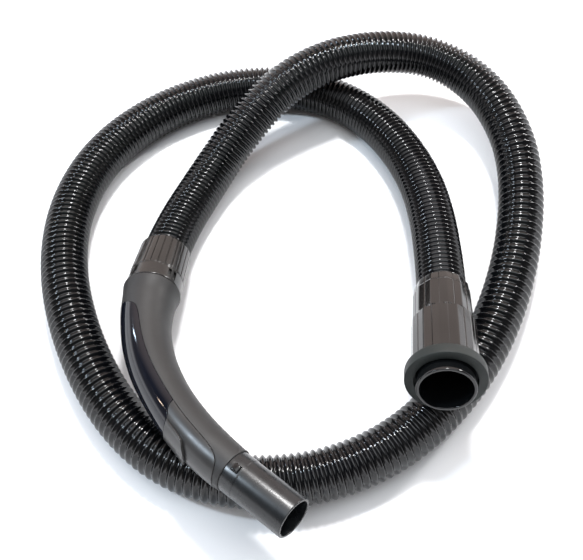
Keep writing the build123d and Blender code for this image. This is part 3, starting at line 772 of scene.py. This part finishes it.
def add_nozzle():
    start, seat_r = NOZZLE_SEAT
    profile = [
        (seat_r, start), (seat_r, 0.0), (LAND_R, 0.0), (LAND_R, LAND_END[0]), (NOZZLE_R, LAND_END[1]),
        (NOZZLE_R, NOZZLE_LENGTH), (NOZZLE_BORE_R, NOZZLE_LENGTH), (NOZZLE_BORE_R, 12.0),
        (POCKET_R, 11.4), (POCKET_R, start),
    ]
    rounding = [0, 0, 0.1, 0.5, 0.5, 0.9, 0.7, 0, 0, 0]
    shape = placed(station(SHOULDER), lathe(rounded(profile, rounding, 5), 128))
    tube = make_piece("nozzle_tube_gloss", shape, "handle", NOZZLE_BLACK, 34.0, "nozzle_tube")
    lock = station(SHOULDER + LOCK_AT, LOCK_TURN)
    hole = stack([square_loop(height, *LOCK_HOLE) for height in (11.0, 20.0)])
    cut(tube, [placed(lock, hole)], 34.0)
    shape = placed(lock, stack([square_loop(*section) for section in LOCK_SECTIONS]))
    make_piece("lock_button_gloss", shape, "lock", GLOSS_BLACK, 40.0, "lock_button")


# ------------------------------------------------------------------ handle cuff, from its hose-side rim
RIBS = 24
CUFF_R = (22.7, 24.4)  # at the hose's side, at the handle's side
RIB_HEIGHT = 0.4
RIB_END = 36.4
RIB_FADE = 1.8
# across one rib: degrees from its middle, height from the rib's top
RIB_OFFSETS = np.array([-6.35, -6.1, -5.6, -3.0, 0.0, 3.0, 5.6, 6.1, 6.35, 6.9, 7.5, 8.1])
RIB_LIFTS = np.array([-0.22, -0.06, 0.0, 0.0, 0.0, 0.0, 0.0, -0.06, -0.22, -0.8, -0.85, -0.8])
CUFF_ROWS = [
    0.0, 0.15, 0.5, 1.2, 7, 14, 21, 28, 34.0, 34.8, 35.4, 35.9, 36.4, 37.0,
    38, 40, 43, 46, 49, 49.9, 50.18, CUFF_LENGTH,
]
CUFF_EDGES = {0.0: -0.55, 0.15: -0.2, 50.18: -0.16, CUFF_LENGTH: -0.45}  # rounding of the rims
CUFF_INSIDE = [
    (22.4, CUFF_LENGTH), (22.4, 36.3), (18.4, 36.3), (18.4, 28.0), (21.05, 28.0), (21.05, 3.0), (21.4, 0.0),
]
SLOT = (1.5, 4.5, 0.6)  # half width, half length, corner radius
SLOT_AT = 42.5
SLOT_PAIRS = (45, 135, 225, 315)
SLOT_OFFSET = 6.5
SLOT_REACH = (21.6, 26.5)


def round_row(radius, angle, z):
    return np.stack([radius * np.cos(angle), radius * np.sin(angle), np.full(len(angle), z)], axis=1)


def cuff_slot(turn_deg):
    """Cutter for one of the slots that show the swivel ring."""
    a = math.radians(turn_deg)
    loop = rounded_rectangle(*SLOT)
    loops = []
    for r in SLOT_REACH:
        x = r * math.cos(a) - loop[:, 0] * math.sin(a)
        y = r * math.sin(a) + loop[:, 0] * math.cos(a)
        loops.append(np.stack([x, y, SLOT_AT + loop[:, 1]], axis=1))
    return placed(CUFF, stack(loops))


def add_handle_cuff():
    """Ribbed grip with a plain band, and pairs of slots in the band."""
    angle = np.radians(np.concatenate([360.0 / RIBS * i + RIB_OFFSETS for i in range(RIBS)]))
    lift = np.tile(RIB_LIFTS, RIBS)
    rows = []
    for z in CUFF_ROWS:
        share = float(np.clip((RIB_END - z) / RIB_FADE, 0, 1))
        ribbed = share * share * (3 - 2 * share)
        plain = CUFF_R[0] + (CUFF_R[1] - CUFF_R[0]) * z / CUFF_LENGTH + CUFF_EDGES.get(z, 0.0)
        rows.append(round_row(plain + ribbed * (RIB_HEIGHT + lift), angle, z))
    rows += [round_row(r, angle, z) for r, z in CUFF_INSIDE]
    shape = placed(CUFF, (np.concatenate(rows), grid_faces(len(rows), len(angle), True, True)))
    cuff = make_piece("handle_cuff_ribbed", shape, "hose", CUFF_BLACK, 38.0, "handle_cuff")
    slots = [cuff_slot(middle + side) for middle in SLOT_PAIRS for side in (-SLOT_OFFSET, SLOT_OFFSET)]
    cut(cuff, slots, 38.0)


# ------------------------------------------------------------------ machine connector, from the flange's face
FACETS = 12
HALF_FACET = 180.0 / FACETS
CORNER_CUT = 0.16
CORNER_BLEND = 0.06
SEAM_DEPTH = 0.28
SEAM_WIDTH = 0.8  # degrees
# z, radius at the corners, 0 for the rear tier's outline and 1 for the front tier's
TIERS = [
    (CONNECTOR_REAR, 22.9, 0.0), (-102.2, 23.3, 0.0), (-101.4, 23.45, 0.0), (-94.5, 24.0, 0.0), (-93.2, 24.45, 0.0),
    (-80.0, 24.75, 0.0), (-63.0, 25.0, 0.0), (-60.4, 26.45, 1.0), (-59.8, 26.5, 1.0), (-40.0, 26.65, 1.0),
    (-24.0, 26.8, 1.0), (-11.6, 26.8, 1.0), (-10.9, 26.6, 1.0), (-10.6, 26.2, 1.0),
]
MACHINE_CUFF_INSIDE = [
    (23.9, -10.6), (23.9, -37.6), (23.9, -46.0), (22.3, -46.0), (22.3, -60.0), (18.4, -60.0), (18.4, -74.5),
    (21.05, -74.5), (21.05, -99.5), (21.5, CONNECTOR_REAR),
]
# degrees from each corner and flat's middle, and further ones between
NEAR_CORNER = np.array([-3.2, -2.2, -1.4, -0.7, 0.0, 0.7, 1.4, 2.2, 3.2])
BETWEEN_CORNERS = np.array([5.3, 7.5, 9.7])
FLANGE_PROFILE = [(22.75, -10.0), (31.8, -10.0), (31.8, 0.0), (24.5, 0.0), (24.5, -5.0), (22.75, -5.0)]
FLANGE_ROUNDING = [0.2, 1.6, 1.1, 0.5, 0.6, 0.2]
SPIGOT_PROFILE = [
    (20.5, -58.0), (22.2, -58.0), (22.2, -42.0), (23.5, -42.0), (23.5, -38.2), (22.2, -38.2),
    (22.2, -29.2), (21.6, -29.2), (21.6, -26.8), (22.2, -26.8), (22.2, -10.4), (22.7, -10.4),
    (22.7, -5.0), (23.1, -5.0), (23.1, 9.0), (20.5, 9.0),
]
SPIGOT_ROUNDING = [0.2, 0.2, 0, 0.2, 0.2, 0, 0, 0, 0, 0, 0, 0, 0, 0, 1.1, 1.0]


def facet_radius(angle_deg, corner_r, turn_deg):
    """Twelve-sided outline with softened corners and a fine groove along each."""
    local = (angle_deg - turn_deg + HALF_FACET) % (2 * HALF_FACET) - HALF_FACET
    from_corner = HALF_FACET - np.abs(local)
    flat = corner_r * math.cos(math.radians(HALF_FACET)) / np.cos(np.radians(from_corner))
    cap = corner_r - CORNER_CUT
    soft = -CORNER_BLEND * np.log(np.exp(-flat / CORNER_BLEND) + np.exp(-cap / CORNER_BLEND))
    return soft - SEAM_DEPTH * np.exp(-((from_corner / SEAM_WIDTH) ** 2))


def add_machine_cuff():
    steps = np.concatenate([NEAR_CORNER, BETWEEN_CORNERS])
    angle_deg = np.sort(np.concatenate([HALF_FACET * i + steps for i in range(2 * FACETS)]))
    angle = np.radians(angle_deg)
    rows = []
    for z, corner_r, front in TIERS:
        rear_r = facet_radius(angle_deg, corner_r, 0.0)
        front_r = facet_radius(angle_deg, corner_r, HALF_FACET)
        rows.append(round_row((1 - front) * rear_r + front * front_r, angle, z))
    rows += [round_row(r, angle, z) for r, z in MACHINE_CUFF_INSIDE]
    shape = placed(CONNECTOR, (np.concatenate(rows), grid_faces(len(rows), len(angle), True, True)))
    make_piece("machine_cuff_faceted", shape, "hose", CUFF_BLACK_GLOSS, 9.0, "machine_cuff")


def add_flange_and_spigot():
    shape = placed(CONNECTOR, lathe(rounded(FLANGE_PROFILE, FLANGE_ROUNDING, 5), 160))
    make_piece("connector_flange_rubber", shape, "spigot", FLANGE_RUBBER, 50.0, "connector_flange")
    shape = placed(CONNECTOR, lathe(rounded(SPIGOT_PROFILE, SPIGOT_ROUNDING, 6), 160))
    make_piece("machine_spigot_gloss", shape, "spigot", GLOSS_BLACK, 34.0, "machine_spigot")


add_hose()
add_handle_body()
add_grip_cover()
add_vent_cover()
add_thumb_pad()
add_nozzle()
add_handle_cuff()
add_machine_cuff()
add_flange_and_spigot()

# the pieces that stay as the CAD has them, inside the others
for inner_material, node_names in (
    (SLIP_PLASTIC, ("handle_end_sleeve", "machine_end_sleeve", "handle_thrust_washer", "machine_thrust_washer")),
    (SEAL_RUBBER, ("handle_swivel_ring", "handle_swivel_seal", "bleed_gasket", "spigot_o_ring")),
    (SPRING_STEEL, ("lock_spring", "machine_retaining_ring")),
):
    for node_name in node_names:
        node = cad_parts[node_name]
        node.data.materials.clear()
        node.data.materials.append(inner_material)

# ------------------------------------------------------------------ floor and light
floor_mesh = bpy.data.meshes.new("floor")
floor_mesh.from_pydata([(-4, -4, 0), (4, -4, 0), (4, 4, 0), (-4, 4, 0)], [], [(0, 1, 2, 3)])  # metres
floor = bpy.data.objects.new("floor", floor_mesh)
bpy.context.collection.objects.link(floor)
floor_mat, _, floor_shader = new_material("floor", (0.86, 0.865, 0.875), 0.7, 0.2)
floor_mesh.materials.append(floor_mat)


def area_light(name, location, target, size, power, colour=(1, 1, 1)):
    """Rectangular lamp turned toward a target; metres and watts."""
    data = bpy.data.lights.new(name, "AREA")
    data.shape = "RECTANGLE"
    data.size, data.size_y = size
    data.energy = power
    data.color = colour
    lamp = bpy.data.objects.new(name, data)
    lamp.location = location
    lamp.rotation_euler = (Vector(target) - Vector(location)).to_track_quat("-Z", "Y").to_euler()
    bpy.context.collection.objects.link(lamp)


area_light("overhead", (0.05, 0.95, 2.1), (0, 0.12, 0), (0.30, 0.20), 44.0)
area_light("right", (1.9, 1.7, 1.35), (0, 0.12, 0), (0.26, 0.5), 30.0)
area_light("left", (-1.95, 0.15, 2.05), (0, 0.05, 0), (0.24, 0.42), 38.0, (0.74, 0.87, 1.0))
area_light("window", (-1.97, 1.46, 1.06), (-0.12, 0.06, 0.03), (0.09, 0.26), 4.5, (0.66, 0.82, 1.0))
area_light("lamp", (-2.3, 0.55, 1.3), (-0.1, 0.0, 0.03), (0.05, 0.13), 1.3, (1.0, 0.80, 0.62))
area_light("ceiling", (0.0, -0.3, 2.9), (0, 0.1, 0), (3.2, 2.6), 62.0, (0.94, 0.97, 1.0))

world = bpy.data.worlds.new("studio")
bpy.context.scene.world = world
world.use_nodes = True
sky = world.node_tree
height = sky.nodes.new("ShaderNodeSeparateXYZ")
sky.links.new(sky.nodes.new("ShaderNodeTexCoord").outputs["Generated"], height.inputs[0])
band = sky.nodes.new("ShaderNodeValToRGB")
sky.links.new(height.outputs["Z"], band.inputs["Fac"])
# how high, colour: a bright band at the horizon under a dim ceiling
stops = [
    (0.0, (1.9, 1.92, 2.0)), (0.12, (1.9, 1.9, 1.95)), (0.22, (0.30, 0.28, 0.27)),
    (0.5, (0.12, 0.11, 0.105)), (1.0, (0.06, 0.065, 0.08)),
]
for _ in range(len(stops) - 2):
    band.color_ramp.elements.new(0.5)
for element, (at, colour) in zip(band.color_ramp.elements, stops):
    element.position = at
    element.color = (*colour, 1.0)
# a lighter wall behind the object
facing = sky.nodes.new("ShaderNodeVectorMath")
facing.operation = "DOT_PRODUCT"
facing.inputs[1].default_value = (0.0, 0.89, 0.45)
sky.links.new(height.inputs[0].links[0].from_socket, facing.inputs[0])
span = sky.nodes.new("ShaderNodeMapRange")
span.interpolation_type = "SMOOTHSTEP"
span.inputs["From Min"].default_value = 0.55
span.inputs["From Max"].default_value = 0.86
sky.links.new(facing.outputs["Value"], span.inputs["Value"])
wall = sky.nodes.new("ShaderNodeMix")
wall.data_type = "RGBA"
wall.inputs["B"].default_value = (1.15, 0.97, 0.90, 1.0)
sky.links.new(span.outputs["Result"], wall.inputs["Factor"])
sky.links.new(band.outputs["Color"], wall.inputs["A"])
sky.links.new(wall.outputs["Result"], sky.nodes["Background"].inputs["Color"])
sky.nodes["Background"].inputs["Strength"].default_value = 1.2

bpy.context.scene.view_settings.view_transform = "Standard"
